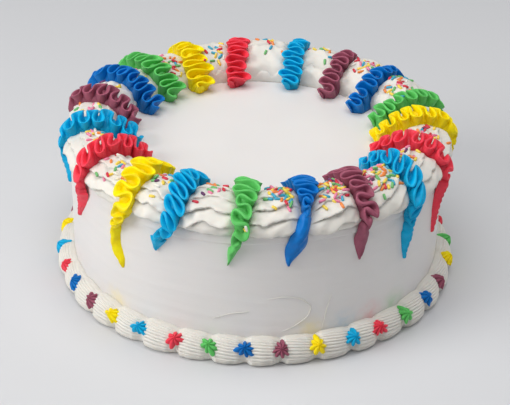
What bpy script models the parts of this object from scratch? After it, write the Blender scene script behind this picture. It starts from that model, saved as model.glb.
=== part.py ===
"""Round iced cake with a piped white border, coloured ruffle ribbons and a shell border with stars.

Metres, +Z up. The origin is the middle of the flat foot. The front of the cake looks towards -Y.
Angles are in degrees round the upright axis: 0 is the front, and they grow towards +X.
"""
import math
import random
from collections import namedtuple

import bmesh
import bpy
from mathutils import Matrix, Vector
from mathutils.bvhtree import BVHTree

MM = 0.001

# Iced cake
WALL_RADIUS = 137.0 * MM
CAKE_HEIGHT = 100.7 * MM
EDGE_ROUND = 4.0 * MM
EDGE_STEPS = 3
WALL_SEGMENTS = 72

# Gap that neighbouring pieces keep where they touch
GAP = 0.3 * MM
WALL_GAP = 0.45 * MM

# White border round the top: a low bed under the ribbons, with fat swirls piped between them
BED_MIDDLE = 115.0 * MM
BED_INNER_REACH = 32.5 * MM
BED_OUTER_REACH = 25.0 * MM
BED_HEIGHT = 12.0 * MM
BED_FOOT = 0.8 * MM
BED_STEPS = 8
LIP_DROP = 2.4 * MM
LIP_INSET = 1.2 * MM
SWIRL_HEIGHT = 7.4 * MM
SWIRL_FOLD = 1.5 * MM
SWIRL_COLUMNS = 4

# Ruffle ribbons, piped over the border and down the wall
RIBBON_HALF_WIDTH = 8.6 * MM
RIBBON_CLEARANCE = 9.7 * MM
RIBBON_HEIGHT = 12.0 * MM
SHEET_HALF_THICKNESS = 2.0 * MM
FOLD_HALF_WIDTH = 4.8 * MM
TAIL_DROP = 21.0 * MM
TAIL_STEPS = 3

Ribbon = namedtuple("Ribbon", "colour inner crest outer tip tip_height folds")
RIBBONS = (
    Ribbon("red", -62, -61.5, -59, -65.3, 64 * MM, 7),
    Ribbon("yellow", -44, -40, -37, -41.2, 50 * MM, 7),
    Ribbon("light_blue", -25, -23, -22.5, -29, 75 * MM, 8),
    Ribbon("green", -3.6, -2.8, -4, -7.5, 74 * MM, 7),
    Ribbon("blue", 18, 16.5, 11.8, 8.8, 74 * MM, 6),
    Ribbon("purple", 37, 33, 30.3, 30.6, 70 * MM, 8),
    Ribbon("light_blue", 53.5, 52.5, 48.5, 48.7, 54 * MM, 8),
    Ribbon("red", 69.5, 70, 68.3, 66.2, 54.5 * MM, 8),
    Ribbon("yellow", 83.5, 91, 92, 91, 62 * MM, 7),
    Ribbon("green", 99, 104, 108, 107, 70 * MM, 7),
    Ribbon("blue", 118.5, 126.5, 130.5, 130, 58 * MM, 7),
    Ribbon("purple", 140.5, 145.5, 148.5, 150, 66 * MM, 8),
    Ribbon("light_blue", 162.5, 165.5, 166, 166, 72 * MM, 7),
    Ribbon("red", 193, 188, 187, 187.5, 60 * MM, 7),
    Ribbon("yellow", 212, 208, 206.5, 206, 52 * MM, 7),
    Ribbon("green", 230, 226, 226.5, 226, 68 * MM, 7),
    Ribbon("blue", 248.5, 239, 239.5, 238, 63 * MM, 8),
    Ribbon("purple", 268, 257, 254, 254, 57 * MM, 7),
    Ribbon("light_blue", 284, 278, 278, 280, 72 * MM, 7),
)

# Sprinkles, pressed into the swirls
SPRINKLE_LENGTH = 5.4 * MM
SPRINKLE_RADIUS = 0.95 * MM
SPRINKLE_SIDES = 6
SPRINKLES = 62
SPRINKLE_SPACING = 6.4 * MM

# Shell border round the foot: one shell between each star and the next
SHELL_DEPTH = 13.4 * MM
SHELL_HEIGHT = 19.0 * MM
SHELL_SECTION = ((0.0, 0.0), (0.72, 0.0), (1.0, 0.26), (0.88, 0.62), (0.47, 0.92), (0.0, 1.0))
SHELL_SWELL = ((0.70, 0.80), (1.0, 1.0), (0.98, 0.99), (0.87, 0.91))

# Small piped stars at the joints of the shells
STAR_RADIUS = 5.4 * MM
STAR_HEIGHT = 4.6 * MM
STAR_POINTS = 5
STAR_WAIST = 0.56
STAR_RING_RADIUS = 143.0 * MM
STAR_RING_HEIGHT = 9.5 * MM
STAR_TILT = 30
STAR_REACH = 30.0 * MM
SEEN_STAR_ANGLES = (-95, -83.2, -72, -62, -51.7, -42.2, -32.2, -21.4, -11.6, -2.0,
                    7.5, 17.6, 28.0, 36.7, 47.0, 57.7, 67.8, 80.5, 91.5, 103)
HIDDEN_STARS = 15
SEEN_STAR_COLOURS = ("yellow", "light_blue", "red", "blue", "purple", "yellow", "light_blue", "red",
                     "green", "blue", "purple", "yellow", "light_blue", "red", "green", "blue",
                     "purple", "yellow", "green", "red")
HIDDEN_STAR_COLOURS = ("green", "blue", "purple", "yellow", "light_blue", "red")

COLOURS = {
    "white": (0.86, 0.84, 0.80),
    "red": (0.74, 0.03, 0.05),
    "yellow": (0.93, 0.70, 0.01),
    "light_blue": (0.01, 0.36, 0.72),
    "blue": (0.01, 0.13, 0.56),
    "green": (0.08, 0.48, 0.09),
    "purple": (0.19, 0.04, 0.09),
}


def clear_scene():
    for old in list(bpy.data.objects):
        bpy.data.objects.remove(old, do_unlink=True)


def icing_material(colour):
    material = bpy.data.materials.get(f"{colour}_icing")
    if material is None:
        material = bpy.data.materials.new(f"{colour}_icing")
        material.use_nodes = True
        shader = material.node_tree.nodes["Principled BSDF"]
        shader.inputs["Base Color"].default_value = (*COLOURS[colour], 1.0)
        shader.inputs["Roughness"].default_value = 0.42
        shader.inputs["Metallic"].default_value = 0.0
    return material


def around(angle, radius, height):
    """The point at an angle round the cake, a radius out from its axis and a height."""
    turn = math.radians(angle)
    return Vector((radius * math.sin(turn), -radius * math.cos(turn), height))


def ease(amount):
    return amount * amount * (3 - 2 * amount)


def add_object(name, mesh, colour, collection):
    mesh.materials.clear()
    mesh.materials.append(icing_material(colour))
    piece = bpy.data.objects.new(name, mesh)
    collection.objects.link(piece)
    return piece


def mesh_from(bm, name):
    bmesh.ops.recalc_face_normals(bm, faces=bm.faces)
    mesh = bpy.data.meshes.new(name)
    bm.to_mesh(mesh)
    bm.free()
    mesh.shade_smooth()
    mesh.set_sharp_from_angle(angle=math.radians(50))
    return mesh


def loft(sections, ring):
    """Joins a row of sections of as many points each; a ring joins the last to the first."""
    bm = bmesh.new()
    rows = [[bm.verts.new(point) for point in section] for section in sections]
    pairs = list(zip(rows, rows[1:]))
    if ring:
        pairs.append((rows[-1], rows[0]))
    count = len(rows[0])
    for here, there in pairs:
        for k in range(count):
            after = (k + 1) % count
            bm.faces.new((here[k], here[after], there[after], there[k]))
    if not ring:
        bm.faces.new(rows[0])
        bm.faces.new(rows[-1])
    return bm


def make_cake_body(collection):
    """The iced cake: a flat foot, an upright wall and a rounded top edge, turned round the axis."""
    profile = [(0.0, CAKE_HEIGHT)]
    for step in range(EDGE_STEPS + 1):
        turn = math.radians(90 * (1 - step / EDGE_STEPS))
        profile.append((WALL_RADIUS - EDGE_ROUND + EDGE_ROUND * math.cos(turn),
                        CAKE_HEIGHT - EDGE_ROUND + EDGE_ROUND * math.sin(turn)))
    profile += [(WALL_RADIUS, 0.0), (0.0, 0.0)]
    bm = bmesh.new()
    points = [bm.verts.new((radius, 0.0, height)) for radius, height in profile]
    for here, there in zip(points, points[1:]):
        bm.edges.new((here, there))
    mesh = bpy.data.meshes.new("cake_body")
    bm.to_mesh(mesh)
    bm.free()
    body = add_object("cake_body", mesh, "white", collection)
    screw = body.modifiers.new("turn", "SCREW")
    screw.steps = WALL_SEGMENTS
    screw.render_steps = WALL_SEGMENTS
    screw.use_merge_vertices = True
    screw.merge_threshold = 0.0001
    return body


# Border bed

def bed_point(along):
    """Radius and height on the bed, along from 0 at its inner foot over the crest to 1 outside.

    The inner side is a slope that eases off at the crest, and the outer side is a quarter ellipse.
    """
    foot = CAKE_HEIGHT + GAP + BED_FOOT
    if along < 0.5:
        inward = 1 - 2 * along
        return BED_MIDDLE - BED_INNER_REACH * inward, foot + BED_HEIGHT * (1 - inward * inward)
    turn = math.pi * (along - 0.5)
    return BED_MIDDLE + BED_OUTER_REACH * math.sin(turn), foot + BED_HEIGHT * math.cos(turn)


def bed_normal(along):
    """The way out of the bed, as radius and height."""
    if along < 0.5:
        return Vector((-2 * BED_HEIGHT * (1 - 2 * along), BED_INNER_REACH)).normalized()
    turn = math.pi * (along - 0.5)
    return Vector((BED_HEIGHT * math.sin(turn), BED_OUTER_REACH * math.cos(turn))).normalized()


def ribbon_narrow(along):
    """A ribbon's width as a share: a little less at its inner end and as it leaves the border."""
    return 1.0 - 0.35 * max(0.0, along - 1.0) - 0.12 * max(0.0, 1.0 - 3.0 * along)


def ribbon_angle(ribbon, along):
    """A ribbon's angle: along is 0 at its inner end, 1 at the bed's outer edge and 2 at its tip."""
    knots = ((0.0, ribbon.inner), (0.5, ribbon.crest), (1.0, ribbon.outer), (2.0, ribbon.tip))
    for (start, here), (end, there) in zip(knots, knots[1:]):
        if along <= end:
            return here + (there - here) * ease((along - start) / (end - start))
    return ribbon.tip


def swirl_relief(across, along, seed):
    """How far the white swirl between two ribbons stands off the bed."""
    body = SWIRL_HEIGHT * (0.3 + 0.7 * math.sin(math.pi * (0.05 + 0.85 * along)))
    fold = SWIRL_FOLD * math.cos(2 * math.pi * (4.0 * along - 0.45 * across + seed))
    round_side = 0.8 + 0.2 * math.sin(math.pi * across)
    return (body + fold * (0.3 + 0.7 * along)) * round_side


def border_section(angle_at, relief_at):
    """One section of the border, from the inner foot over the top to the lip and back below."""
    section = []
    for step in range(BED_STEPS + 1):
        along = step / BED_STEPS
        radius, height = bed_point(along)
        normal = bed_normal(along)
        off = relief_at(along)
        section.append(around(angle_at(along), radius + normal.x * off, height + normal.y * off))
    edge_radius = BED_MIDDLE + BED_OUTER_REACH
    lip = relief_at(1.0) * 0.6
    section.append(around(angle_at(1.0), edge_radius - LIP_INSET + lip, CAKE_HEIGHT - LIP_DROP))
    section.append(around(angle_at(1.0), WALL_RADIUS + WALL_GAP, CAKE_HEIGHT - LIP_DROP))
    section.append(around(angle_at(1.0), WALL_RADIUS + WALL_GAP, CAKE_HEIGHT + GAP))
    section.append(around(angle_at(0.0), BED_MIDDLE - BED_INNER_REACH, CAKE_HEIGHT + GAP))
    return section


def border_sections():
    """Sections under each ribbon and through each swirl, all the way round."""
    sections = []
    wrapped = RIBBONS[0]._replace(
        inner=RIBBONS[0].inner + 360, crest=RIBBONS[0].crest + 360, outer=RIBBONS[0].outer + 360)
    for index, (here, there) in enumerate(zip(RIBBONS, RIBBONS[1:] + (wrapped,))):
        seed = index * 0.37

        def window(along, share, here=here, there=there):
            radius = bed_point(along)[0]
            clear = math.degrees(RIBBON_CLEARANCE * ribbon_narrow(along) / radius)
            start = ribbon_angle(here, along) + clear
            end = ribbon_angle(there, along) - clear
            return start + (end - start) * share

        sections.append(border_section(lambda along: ribbon_angle(here, along), lambda along: 0.0))
        sections.append(border_section(lambda along: window(along, 0.0), lambda along: 0.0))
        for column in range(SWIRL_COLUMNS):
            across = column / (SWIRL_COLUMNS - 1)
            share = 0.13 + 0.74 * across
            sections.append(border_section(
                lambda along: window(along, share),
                lambda along: swirl_relief(across, along, seed)))
        sections.append(border_section(lambda along: window(along, 1.0), lambda along: 0.0))
    return sections


def sprinkle_places(surface):
    """Places and turns of the sprinkles on the swirls, a spacing apart and clear of the ribbons."""
    draw = random.Random(11)
    wrapped = RIBBONS[0]._replace(crest=RIBBONS[0].crest + 360, inner=RIBBONS[0].inner + 360,
                                  outer=RIBBONS[0].outer + 360)
    following = RIBBONS[1:] + (wrapped,)
    places = []
    tries = 0
    while len(places) < SPRINKLES and tries < 6000:
        tries += 1
        index = tries % len(RIBBONS)
        along = draw.uniform(0.34, 0.80)
        radius, height = bed_point(along)
        clear = math.degrees((RIBBON_CLEARANCE + 0.62 * SPRINKLE_LENGTH) / radius)
        start = ribbon_angle(RIBBONS[index], along) + clear
        end = ribbon_angle(following[index], along) - clear
        angle = draw.uniform(min(start, end), max(start, end))
        turn = draw.uniform(0, math.pi)
        if end <= start:
            continue
        normal = bed_normal(along)
        above = around(angle, radius + normal.x * 30 * MM, height + normal.y * 30 * MM)
        below = around(angle, radius, height) - above
        place, face_normal, _, _ = surface.ray_cast(above, below.normalized())
        if place is None:
            continue
        if any((place - other).length < SPRINKLE_SPACING for other, _, _ in places):
            continue
        places.append((place, face_normal, turn))
    return places


def add_sprinkle(name, place, normal, turn, collection):
    """A round-sided rod that lies on the surface, sunk by a third of its thickness."""
    side = normal.orthogonal().normalized()
    lie = Matrix.Rotation(turn, 4, normal) @ side.to_4d()
    direction = Vector(lie[:3]).normalized()
    bm = bmesh.new()
    bmesh.ops.create_cone(bm, cap_ends=True, segments=SPRINKLE_SIDES, radius1=SPRINKLE_RADIUS,
                          radius2=SPRINKLE_RADIUS, depth=SPRINKLE_LENGTH)
    stand = direction.to_track_quat("Z", "Y").to_matrix().to_4x4()
    centre = place + normal * (0.3 * SPRINKLE_RADIUS)
    bmesh.ops.transform(bm, matrix=Matrix.Translation(centre) @ stand, verts=bm.verts)
    mesh = bpy.data.meshes.new(name)
    bm.to_mesh(mesh)
    bm.free()
    rod = bpy.data.objects.new(name, mesh)
    collection.objects.link(rod)
    return rod


def drop_scraps(bm):
    """Keeps the largest connected body of a mesh."""
    left = set(bm.verts)
    bodies = []
    while left:
        body = {left.pop()}
        edge = list(body)
        while edge:
            vert = edge.pop()
            for link in vert.link_edges:
                other = link.other_vert(vert)
                if other in left:
                    left.remove(other)
                    body.add(other)
                    edge.append(other)
        bodies.append(body)
    bodies.sort(key=len)
    scraps = [vert for body in bodies[:-1] for vert in body]
    bmesh.ops.delete(bm, geom=scraps, context="VERTS")


def make_top_border(collection):
    """The white border with its swirls, and the sprinkles fused to it."""
    bm = loft(border_sections(), ring=True)
    bmesh.ops.recalc_face_normals(bm, faces=bm.faces)
    bmesh.ops.triangulate(bm, faces=bm.faces)
    surface = BVHTree.FromBMesh(bm)
    places = sprinkle_places(surface)
    border = add_object("top_border", mesh_from(bm, "top_border"), "white", collection)
    rods = bpy.data.collections.new("sprinkle_rods")
    bpy.context.scene.collection.children.link(rods)
    for index, (place, normal, turn) in enumerate(places):
        add_sprinkle(f"sprinkle_{index:03d}", place, normal, turn, rods)
    join = border.modifiers.new("join_sprinkles", "BOOLEAN")
    join.operation = "UNION"
    join.operand_type = "COLLECTION"
    join.collection = rods
    join.solver = "EXACT"
    depsgraph = bpy.context.evaluated_depsgraph_get()
    joined = bpy.data.meshes.new_from_object(border.evaluated_get(depsgraph))
    border.modifiers.clear()
    bm = bmesh.new()
    bm.from_mesh(joined)
    bmesh.ops.remove_doubles(bm, verts=bm.verts, dist=0.00001)
    drop_scraps(bm)
    border.data = mesh_from(bm, "top_border_joined")
    border.data.materials.clear()
    border.data.materials.append(icing_material("white"))
    for rod in list(rods.objects):
        bpy.data.objects.remove(rod, do_unlink=True)
    bpy.data.collections.remove(rods)
    return border


# Ribbons

def ribbon_path(ribbon):
    """Points under a ribbon as (radius, height, along): over the bed, off its edge, down the wall."""
    path = []
    dome_steps = 64
    for step in range(dome_steps + 1):
        along = step / dome_steps
        radius, height = bed_point(along)
        normal = bed_normal(along)
        path.append((radius + normal.x * WALL_GAP, height + normal.y * WALL_GAP, along))
    start = Vector(path[-1][:2])
    wall = Vector((WALL_RADIUS + WALL_GAP, CAKE_HEIGHT - TAIL_DROP))
    bend_a = start - Vector((0.0, 0.40 * TAIL_DROP))
    bend_b = wall + Vector((0.0, 0.45 * TAIL_DROP))
    tail_steps = 24
    down = wall.y - ribbon.tip_height
    fall = (start - wall).length + down
    for step in range(1, tail_steps + 1):
        t = step / tail_steps
        point = (start * (1 - t) ** 3 + bend_a * 3 * t * (1 - t) ** 2
                 + bend_b * 3 * t * t * (1 - t) + wall * t ** 3)
        path.append((point.x, point.y, 1 + t * (start - wall).length / fall))
    path.append((wall.x, ribbon.tip_height, 2.0))
    return path


def path_lengths(path):
    lengths = [0.0]
    for here, there in zip(path, path[1:]):
        lengths.append(lengths[-1] + math.hypot(there[0] - here[0], there[1] - here[1]))
    return lengths


def path_at(path, lengths, distance):
    """Radius, height, along and outward normal at a distance along a path."""
    index = 0
    while index < len(lengths) - 2 and lengths[index + 1] < distance:
        index += 1
    share = (distance - lengths[index]) / (lengths[index + 1] - lengths[index])
    here, there = path[index], path[index + 1]
    radius, height, along = (a + (b - a) * share for a, b in zip(here, there))
    way = Vector((there[0] - here[0], there[1] - here[1])).normalized()
    return radius, height, along, Vector((-way.y, way.x))


def ribbon_section(ribbon, place, middle, foot, top, rise):
    """Four corners of a ribbon's section: foot and top half widths about a middle, and a rise."""
    radius, height, along, normal = place
    angle = ribbon_angle(ribbon, along)
    corners = []
    for shift, up in ((middle - foot, 0.0), (middle + foot, 0.0),
                      (middle + top, rise), (middle - top, rise)):
        out = radius + normal.x * up
        corners.append(around(angle + math.degrees(shift / out), out, height + normal.y * up))
    return corners


def ribbon_rise(along):
    """Height of the ruffle: full over the crest, lower at the inner end and down the side."""
    if along < 0.5:
        return RIBBON_HEIGHT * (0.40 + 0.60 * ease(2 * along))
    if along < 1.0:
        return RIBBON_HEIGHT * (1 - 0.42 * ease(2 * along - 1))
    return RIBBON_HEIGHT * 0.58 * (1 - 0.78 * ease(along - 1.0))


def make_ribbon(number, ribbon, collection):
    """A sheet on its edge that folds from side to side, then runs out in a narrow tail."""
    path = ribbon_path(ribbon)
    lengths = path_lengths(path)
    ruffle_end = lengths[-1] - 0.55 * (lengths[-1] - lengths[64])
    quarters = 4 * ribbon.folds
    sections = []
    for step in range(quarters):
        place = path_at(path, lengths, ruffle_end * (step + 0.25) / quarters)
        along = place[2]
        narrow = ribbon_narrow(along)
        rise = ribbon_rise(along)
        if step % 2:
            foot, top, middle = FOLD_HALF_WIDTH, 0.82 * FOLD_HALF_WIDTH, 0.0
        else:
            side = 1 if step % 4 == 0 else -1
            foot, top = 1.25 * SHEET_HALF_THICKNESS, SHEET_HALF_THICKNESS
            middle = side * (RIBBON_HALF_WIDTH - foot)
            rise *= 0.93
        sections.append(ribbon_section(ribbon, place, middle * narrow, foot * narrow, top * narrow, rise))
    for step in range(TAIL_STEPS + 1):
        share = step / TAIL_STEPS
        distance = ruffle_end + (lengths[-1] - ruffle_end) * (0.12 + 0.88 * share)
        place = path_at(path, lengths, distance)
        foot = FOLD_HALF_WIDTH * (0.95 * (1 - share) + 0.08)
        rise = ribbon_rise(place[2]) * (0.9 - 0.45 * share)
        sections.append(ribbon_section(ribbon, place, 0.0, foot, 0.6 * foot, rise))
    bm = loft(sections, ring=False)
    name = f"ribbon_{number:02d}_{ribbon.colour}"
    return add_object(name, mesh_from(bm, name), ribbon.colour, collection)


# Foot border

def star_list():
    """Angle and colour of each star: the ones at the front and sides, then the rest evenly."""
    stars = list(zip(SEEN_STAR_ANGLES, SEEN_STAR_COLOURS))
    last = SEEN_STAR_ANGLES[-1]
    spacing = (SEEN_STAR_ANGLES[0] + 360 - last) / (HIDDEN_STARS + 1)
    for index in range(HIDDEN_STARS):
        colour = HIDDEN_STAR_COLOURS[index % len(HIDDEN_STAR_COLOURS)]
        stars.append((last + spacing * (index + 1), colour))
    return stars


def make_bottom_border(collection):
    """A ring of shells: each swells from a joint to its head, then thins to the next joint."""
    angles = [angle for angle, _ in star_list()]
    sections = []
    for here, there in zip(angles, angles[1:] + [angles[0] + 360]):
        for quarter, (out, up) in enumerate(SHELL_SWELL):
            angle = here + (there - here) * quarter / len(SHELL_SWELL)
            sections.append([
                around(angle, WALL_RADIUS + WALL_GAP + SHELL_DEPTH * out * x, SHELL_HEIGHT * up * z)
                for x, z in SHELL_SECTION])
    bm = loft(sections, ring=True)
    bmesh.ops.recalc_face_normals(bm, faces=bm.faces)
    bmesh.ops.triangulate(bm, faces=bm.faces)
    surface = BVHTree.FromBMesh(bm)
    add_object("bottom_border", mesh_from(bm, "bottom_border"), "white", collection)
    return surface


def star_mesh(name):
    """A low piped star that stands on z = 0: five lobes that lean in to a small peak."""
    sides = 2 * STAR_POINTS
    bm = bmesh.new()
    bmesh.ops.create_cone(bm, cap_ends=True, segments=sides, radius1=STAR_RADIUS,
                          radius2=0.0, depth=STAR_HEIGHT)
    bmesh.ops.translate(bm, vec=(0, 0, STAR_HEIGHT / 2), verts=bm.verts)
    for vert in bm.verts:
        lobe = round(math.atan2(vert.co.y, vert.co.x) / (2 * math.pi / sides) - 0.5)
        if lobe % 2:
            vert.co.x *= STAR_WAIST
            vert.co.y *= STAR_WAIST
    return mesh_from(bm, name)


def star_seat(middle, out, surface):
    """Height over the middle, along out, of the highest spot of the shells under a star."""
    across = out.orthogonal().normalized()
    spots = [middle]
    for share in (0.35, 0.7, 1.0):
        for step in range(2 * STAR_POINTS):
            turn = Matrix.Rotation(math.radians(180 * step / STAR_POINTS), 3, out)
            spots.append(middle + turn @ across * (share * STAR_RADIUS))
    heights = []
    for spot in spots:
        place, _, _, _ = surface.ray_cast(spot + out * STAR_REACH, -out)
        if place is not None:
            heights.append((place - middle).dot(out))
    return max(heights)


def make_star(number, angle, colour, surface, collection):
    """Seats a star on the joint of two shells, just clear of both."""
    tilt = math.radians(STAR_TILT)
    out = around(angle, math.cos(tilt), math.sin(tilt))
    middle = around(angle, STAR_RING_RADIUS, STAR_RING_HEIGHT)
    place = middle + out * (star_seat(middle, out, surface) + GAP)
    turn = Matrix.Rotation(math.radians(47 * number), 4, "Z")
    name = f"star_{number:02d}_{colour}"
    mesh = star_mesh(name)
    mesh.transform(Matrix.Translation(place) @ out.to_track_quat("Z", "Y").to_matrix().to_4x4() @ turn)
    return add_object(name, mesh, colour, collection)


def main():
    clear_scene()
    cake = bpy.data.collections.new("iced_cake")
    bpy.context.scene.collection.children.link(cake)
    make_cake_body(cake)
    make_top_border(cake)
    for number, ribbon in enumerate(RIBBONS, 1):
        make_ribbon(number, ribbon, cake)
    surface = make_bottom_border(cake)
    for number, (angle, colour) in enumerate(star_list(), 1):
        make_star(number, angle, colour, surface, cake)


main()
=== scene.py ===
import math
import random
from collections import namedtuple

import bmesh
import bpy
import numpy as np
from mathutils import Matrix, Vector
from mathutils.bvhtree import BVHTree


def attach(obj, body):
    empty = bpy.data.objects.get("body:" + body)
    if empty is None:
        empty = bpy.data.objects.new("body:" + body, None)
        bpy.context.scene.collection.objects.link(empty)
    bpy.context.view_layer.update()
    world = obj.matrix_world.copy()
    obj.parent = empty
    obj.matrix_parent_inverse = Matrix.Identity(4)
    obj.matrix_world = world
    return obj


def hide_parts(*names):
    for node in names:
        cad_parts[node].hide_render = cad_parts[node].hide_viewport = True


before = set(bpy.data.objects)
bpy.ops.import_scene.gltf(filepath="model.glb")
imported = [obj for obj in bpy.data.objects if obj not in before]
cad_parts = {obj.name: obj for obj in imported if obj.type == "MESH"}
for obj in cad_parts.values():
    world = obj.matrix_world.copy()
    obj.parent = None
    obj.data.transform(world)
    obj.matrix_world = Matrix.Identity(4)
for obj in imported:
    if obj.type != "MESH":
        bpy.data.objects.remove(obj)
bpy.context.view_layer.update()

MM = 0.001
TAU = 2 * math.pi
# Name of the per-point painted light that the finishes read to paint shade in creases
PAINTED_LIGHT = "painted_light"
RAY_START = 30.0 * MM

# Iced cake
WALL_RADIUS = 137.0 * MM
CAKE_HEIGHT = 100.7 * MM
EDGE_ROUND = 4.0 * MM
EDGE_STEPS = 6
FOOT_CHAMFER = 1.2 * MM
ROUND_STEPS = 360
GAP = 0.3 * MM
WALL_GAP = 0.45 * MM
STEP_BELOW_TOP = 10.0 * MM
STEP_DEPTH = 1.0 * MM
STEP_MIDDLE_ANGLE = 12.0

# Bed of the top border, and the line that the ribbons follow over it
BED_MIDDLE = 115.0 * MM
BED_INNER_REACH = 12.0 * MM
BACK_STRETCH = 0.7
BED_OUTER_REACH = 25.0 * MM
BED_HEIGHT = 12.0 * MM
BED_FOOT = 0.8 * MM
RIBBON_REACH = 32.5 * MM
RIBBON_SLOPE = 1.45
LIP_DROP = 1.9 * MM
LIP_INSET = 1.6 * MM

# White swirls between the ribbons
SWIRL_HEIGHT = 7.2 * MM
SWIRL_COLUMNS = 46
SWIRL_ROWS = 108
SWIRL_LIPS = 5.2
SWIRL_TOP_SHARE = 0.88
SWIRL_EDGE_CLEAR = 3.4 * MM
SWIRL_EDGE_RISE = 8.6 * MM
LUMP_DEPTH = 0.50 * MM
SINK = 0.5 * MM

# The swirl after each ribbon: its height against the usual one, the slant of its lips (above 0
# they run up to the right), how many sprinkles lie on it, and where the middle of their heap is:
# along the ribbons' line, 1 at the border's edge, and across from this ribbon, 0, to the next, 1
Swirl = namedtuple("Swirl", "height slant sprinkles focus side")
SWIRLS = (
    Swirl(0.48, 0.0, 20, 0.62, 0.55), Swirl(0.80, -0.6, 14, 0.55, 0.60),
    Swirl(0.90, 0.5, 14, 0.56, 0.40), Swirl(0.95, 0.6, 44, 0.54, 0.80),
    Swirl(1.05, 0.7, 48, 0.57, 0.40), Swirl(1.10, 1.9, 42, 0.61, 0.40),
    Swirl(0.75, 1.4, 18, 0.53, 0.50), Swirl(0.40, 0.4, 26, 0.58, 0.50),
    Swirl(0.45, 0.0, 14, 0.52, 0.50), Swirl(1.10, -0.3, 24, 0.57, 0.55),
    Swirl(1.15, 0.3, 18, 0.54, 0.50), Swirl(1.05, -0.2, 10, 0.60, 0.50),
    Swirl(1.40, 0.2, 9, 0.57, 0.40), Swirl(1.10, -0.3, 16, 0.48, 0.50),
    Swirl(0.75, 0.2, 24, 0.44, 0.50), Swirl(0.55, 0.4, 8, 0.52, 0.50),
    Swirl(0.50, -0.2, 8, 0.55, 0.50), Swirl(0.35, 0.2, 16, 0.55, 0.50),
    Swirl(0.30, -0.3, 18, 0.56, 0.50),
)

# Ribbons
RIBBON_HALF_WIDTH = 8.4 * MM
RIBBON_HEIGHT = 12.0 * MM
SHEET_FOOT_HALF = 2.2 * MM
SHEET_EDGE_HALF = 0.62 * MM
SHEET_SINK = 0.7 * MM
FOLD_DROOP = 0.20
CORE_WIDTH = 0.68
CORE_RISE = 0.72
CORE_TOP_SHARE = 0.8
TAIL_DROP = 21.0 * MM
TAIL_TIP_RISE = 1.4 * MM
PLEAT_SPACING = 9.0 * MM
PLEAT_DEPTH = 0.55 * MM
END_ROUND = 1.2 * MM
FOLD_SEGMENTS = 30
TAIL_SEGMENTS = 70
SECTION_SEGMENTS = 30
CORE_FOLD_SEGMENTS = 14
CORE_SECTION_SEGMENTS = 24

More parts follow.
